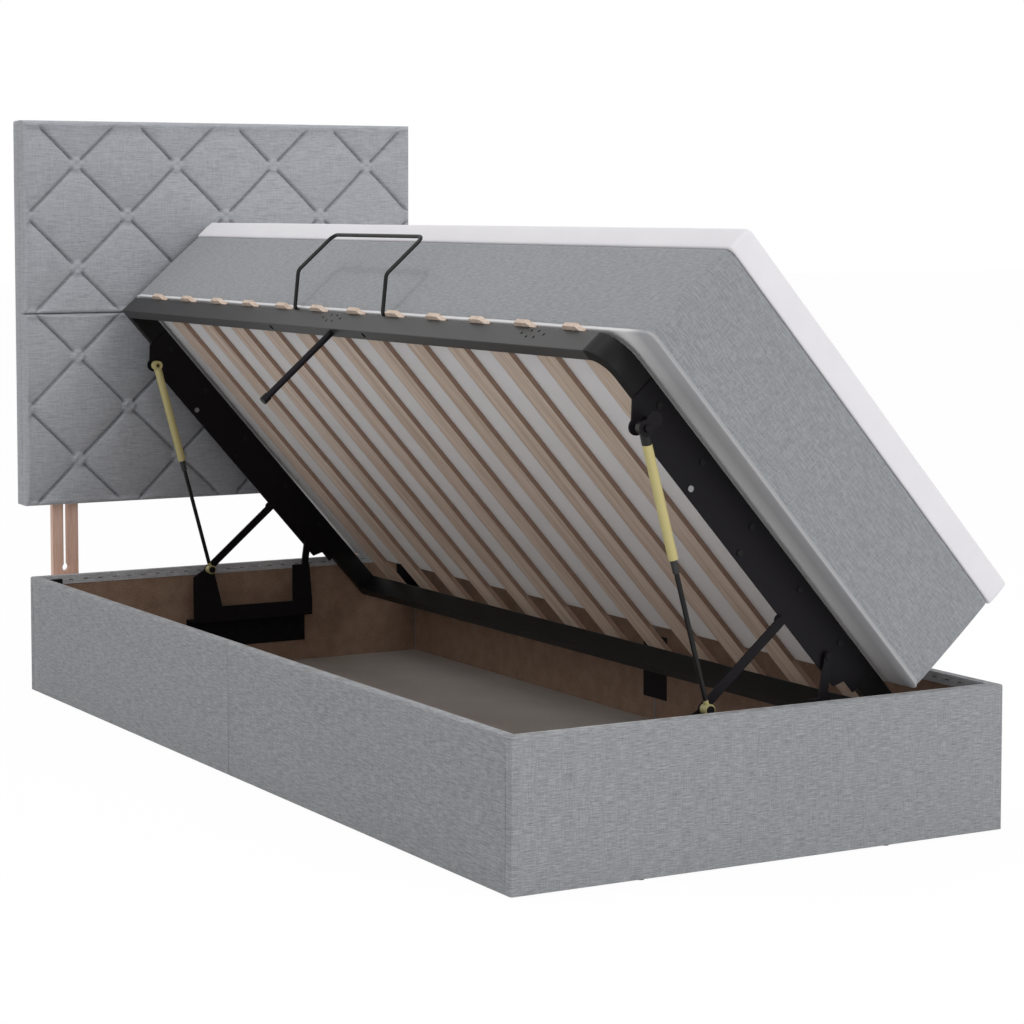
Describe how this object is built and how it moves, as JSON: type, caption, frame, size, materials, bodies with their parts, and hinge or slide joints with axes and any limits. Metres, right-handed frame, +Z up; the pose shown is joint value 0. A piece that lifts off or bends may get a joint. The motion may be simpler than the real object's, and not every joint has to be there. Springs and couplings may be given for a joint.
{
  "type": "ottoman storage bed",
  "caption": "Upholstered storage bed with a lid of wooden slats, mattress and topper that lifts sideways on links and gas struts, and a quilted headboard on slotted legs.",
  "frame": {"origin": "on the floor at the middle of the box, under the middle glide", "axes": "+X across the bed from the side that opens to the hinge side, +Y along the bed towards the headboard, +Z up"},
  "size_m": [0.9021, 2.083, 1.168],
  "materials": {
    "box_board": "matte",
    "box_fabric": "matte",
    "staple_steel": "satin",
    "black_steel": "satin",
    "hardboard": "matte",
    "batten_wood": "matte",
    "glide_plastic": "matte",
    "bolt_steel": "satin",
    "beech": "satin",
    "headboard_fabric": "matte",
    "back_cloth": "matte",
    "rail_steel": "satin",
    "slat_wood": "satin",
    "wire_steel": "satin",
    "mattress_fabric": "matte",
    "topper_fabric": "matte",
    "strut_paint": "satin",
    "rod_steel": "satin",
    "black_plastic": "matte"
  },
  "bodies": {
    "base": {"near_board_foot": "box_board", "near_board_head": "box_board", "far_board_foot": "box_board", "far_board_head": "box_board", "foot_board": "box_board", "head_board": "box_board", "near_cover": "box_fabric", "far_cover": "box_fabric", "foot_cover": "box_fabric", "head_cover": "box_fabric", "rim_staples": "staple_steel", "panel_brackets": "black_steel", "floor_panels": "hardboard", "floor_battens": "batten_wood", "glide_feet": "glide_plastic", "box_bracket_foot": "black_steel", "box_bracket_head": "black_steel", "bracket_screws": "bolt_steel", "headboard_leg_left": "beech", "headboard_leg_right": "beech", "leg_spacers": "batten_wood", "leg_bolts": "bolt_steel"},
    "headboard": {"headboard_board": "hardboard", "headboard_battens": "batten_wood", "upper_cushion": "headboard_fabric", "lower_cushion": "headboard_fabric", "headboard_back_cloth": "back_cloth", "guide_bolts": "bolt_steel"},
    "long_links": {"long_link_foot": "black_steel", "long_link_head": "black_steel"},
    "lid": {"near_rail": "rail_steel", "far_rail": "rail_steel", "foot_rail": "rail_steel", "head_rail": "rail_steel", "slat_01": "slat_wood", "slat_02": "slat_wood", "slat_03": "slat_wood", "slat_04": "slat_wood", "slat_05": "slat_wood", "slat_06": "slat_wood", "slat_07": "slat_wood", "slat_08": "slat_wood", "slat_09": "slat_wood", "slat_10": "slat_wood", "slat_11": "slat_wood", "slat_12": "slat_wood", "lid_plate_foot": "black_steel", "lid_plate_head": "black_steel", "lid_plate_bolts": "bolt_steel", "retainer_bow": "wire_steel", "prop_rod": "black_steel", "mattress": "mattress_fabric", "topper": "topper_fabric"},
    "short_links": {"short_link_foot": "black_steel", "short_link_head": "black_steel"},
    "strut_rods": {"strut_rod_foot": "rod_steel", "strut_rod_head": "rod_steel"},
    "strut_cylinders": {"strut_cylinder_foot": "strut_paint", "strut_cylinder_head": "strut_paint", "strut_collars": "black_plastic"}
  },
  "joints": [
    {"name": "lid_lift", "type": "hinge", "parent": "base", "child": "long_links", "pos_m": [-0.077, 0, 0.233], "axis": [0, 1, 0], "range_deg": [0, 63.45], "stiffness_Nm_per_rad": 90, "springref_deg": -91.67},
    {"name": "lid_on_links", "type": "hinge", "parent": "long_links", "child": "lid", "pos_m": [0.06754, 0, 0.3564], "axis": [0, 1, 0], "range_deg": [-112.16, 0]},
    {"name": "short_link_swing", "type": "hinge", "parent": "base", "child": "short_links", "pos_m": [0.146, 0, 0.22473], "axis": [0, 1, 0], "range_deg": [0, 117.58]},
    {"name": "strut_swing", "type": "hinge", "parent": "base", "child": "strut_rods", "pos_m": [-0.077, 0, 0.233], "axis": [0, 1, 0], "range_deg": [-91.18, 0]},
    {"name": "strut_stroke", "type": "slide", "parent": "strut_rods", "child": "strut_cylinders", "axis": [-0.2611, 0, 0.9653], "range_m": [-0.20853, 0]},
    {"name": "headboard_height", "type": "slide", "parent": "base", "child": "headboard", "axis": [0, 0, 1], "range_m": [0, 0.1]}
  ],
  "couplings": [
    {"joint": "lid_on_links", "follows": "lid_lift", "ratio": -1.7676},
    {"joint": "short_link_swing", "follows": "lid_lift", "ratio": 1.853},
    {"joint": "strut_swing", "follows": "lid_lift", "ratio": -1.437},
    {"joint": "strut_stroke", "follows": "lid_lift", "m_per_rad": -0.18831}
  ]
}
